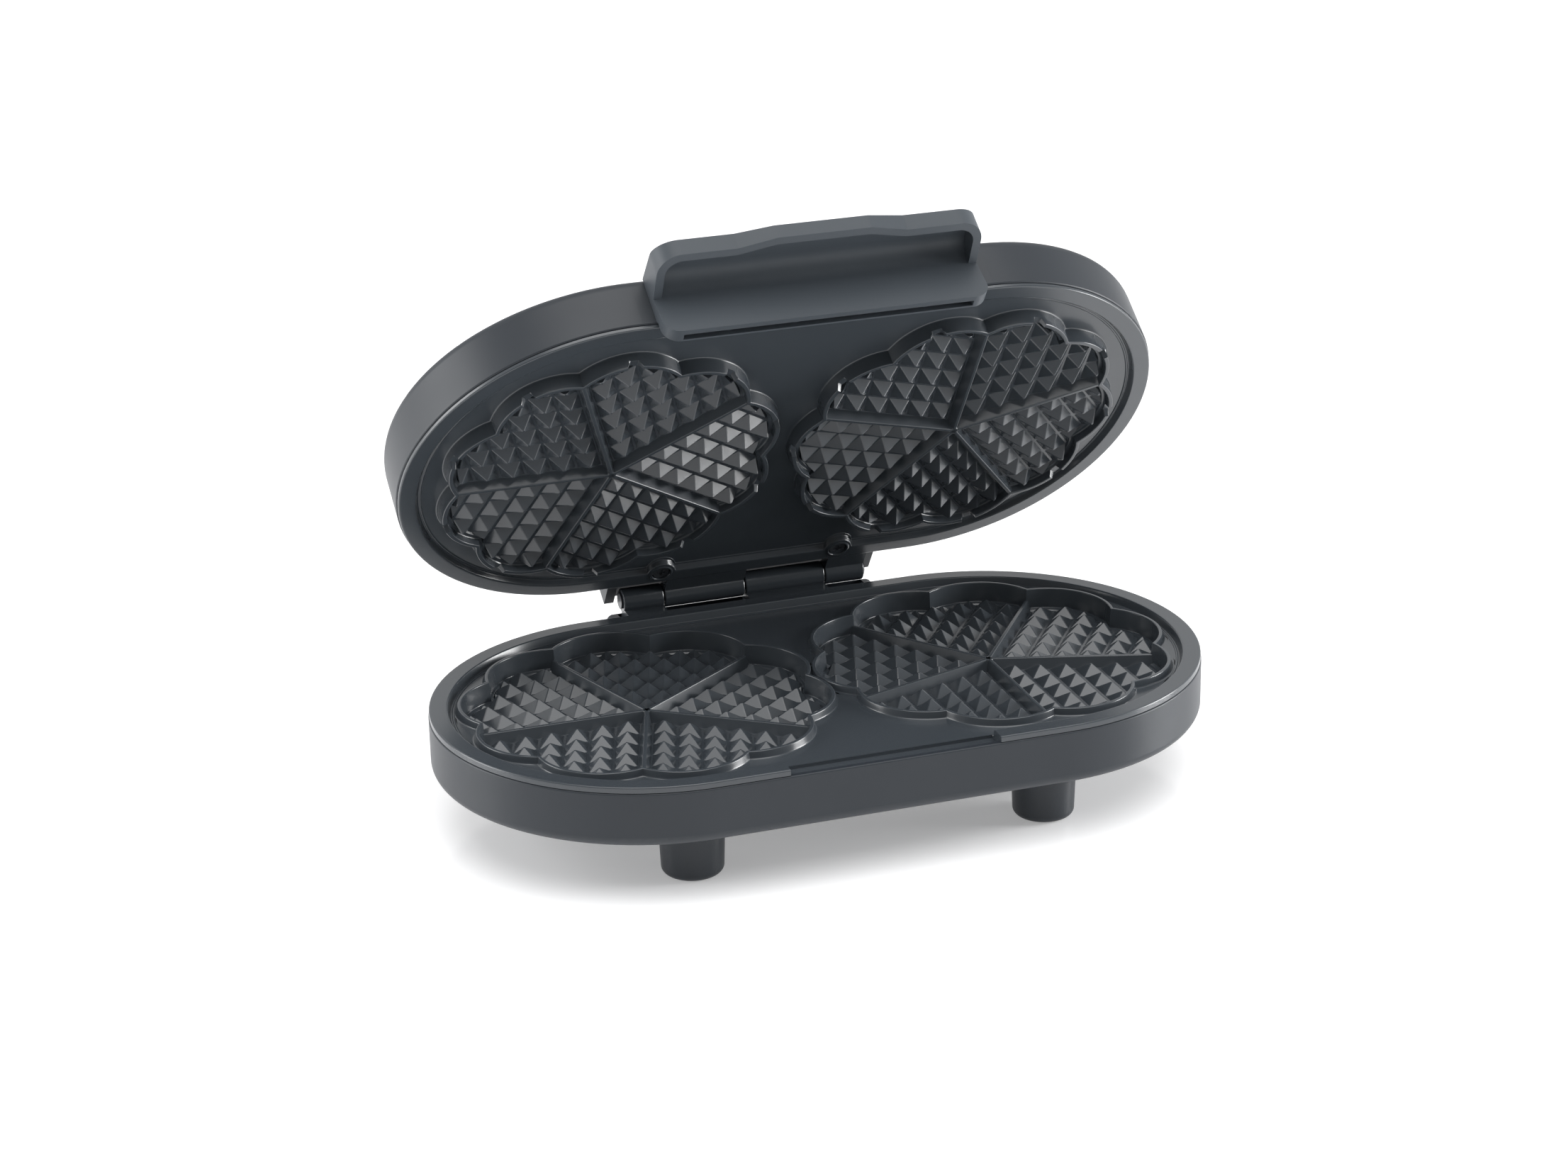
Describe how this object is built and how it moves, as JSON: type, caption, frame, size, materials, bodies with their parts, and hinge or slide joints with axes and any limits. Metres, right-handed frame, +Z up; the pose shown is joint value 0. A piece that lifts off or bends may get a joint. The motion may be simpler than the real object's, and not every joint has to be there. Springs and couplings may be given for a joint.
{
  "type": "double waffle maker",
  "caption": "Stadium-shaped table-top waffle maker with two heart-pattern moulds, a hinged lid held open, a front finger scoop, a temperature dial and round post feet.",
  "frame": {"origin": "middle of the footprint of the whole object with its lid open as stored, at the height of the surface it stands on", "axes": "+X along the length, +Y towards the hinge, +Z up"},
  "size_m": [0.3362, 0.216, 0.2529],
  "materials": {
    "housing": "fine-textured moulded plastic, slate grey",
    "nonstick": "die-cast plate with a dark satin non-stick coating",
    "steel": "zinc-plated steel",
    "bright_sheet": "bright rolled sheet",
    "sheath": "heat-tinted steel sheath",
    "pad_rubber": "soft black rubber",
    "gland_rubber": "black moulded rubber",
    "insulator": "cream moulded insulator",
    "lead_sleeve": "woven glass sleeve over wire",
    "brass": "turned brass",
    "knob": "satin black knob",
    "red_lens": "clear red lens",
    "green_lens": "clear green lens",
    "lamp_glass": "small neon lamp in a clear sleeve"
  },
  "bodies": {
    "base": {"base_housing": "housing", "base_leads": "lead_sleeve", "base_screws": "steel", "cord_gland": "gland_rubber", "foot_front_left": "housing", "foot_front_right": "housing", "foot_pad_front_left": "pad_rubber", "foot_pad_front_right": "pad_rubber", "foot_pad_rear_left": "pad_rubber", "foot_pad_rear_right": "pad_rubber", "foot_rear_left": "housing", "foot_rear_right": "housing", "foot_screws": "steel", "hinge_pin": "steel", "lower_element_straps": "steel", "lower_heating_element": "sheath", "lower_plate": "nonstick", "lower_reflector": "bright_sheet", "lower_strap_screws": "steel", "terminal_block": "insulator", "terminal_screws": "brass"},
    "lid": {"lid_housing": "housing", "upper_plate": "nonstick", "plate_screws": "steel", "lid_handle": "housing", "handle_screws": "steel", "upper_heating_element": "sheath", "upper_element_straps": "steel", "upper_strap_screws": "steel", "upper_reflector": "bright_sheet", "thermostat": "steel", "thermal_fuse": "bright_sheet", "lid_leads": "lead_sleeve", "ready_lamp_lens": "green_lens", "power_lamp_lens": "red_lens", "ready_lamp": "lamp_glass", "power_lamp": "lamp_glass"},
    "dial": {"thermostat_shaft": "steel", "temperature_dial": "knob"}
  },
  "joints": [
    {"name": "lid_hinge", "type": "hinge", "parent": "base", "child": "lid", "pos_m": [0, 0.09027, 0.0552], "axis": [-1, 0, 0], "range_deg": [-54.87, 40]},
    {"name": "dial_turn", "type": "hinge", "parent": "lid", "child": "dial", "pos_m": [0, 0.03413, 0.1826], "axis": [0, -0.8178, -0.5754], "range_deg": [0, 270]}
  ]
}
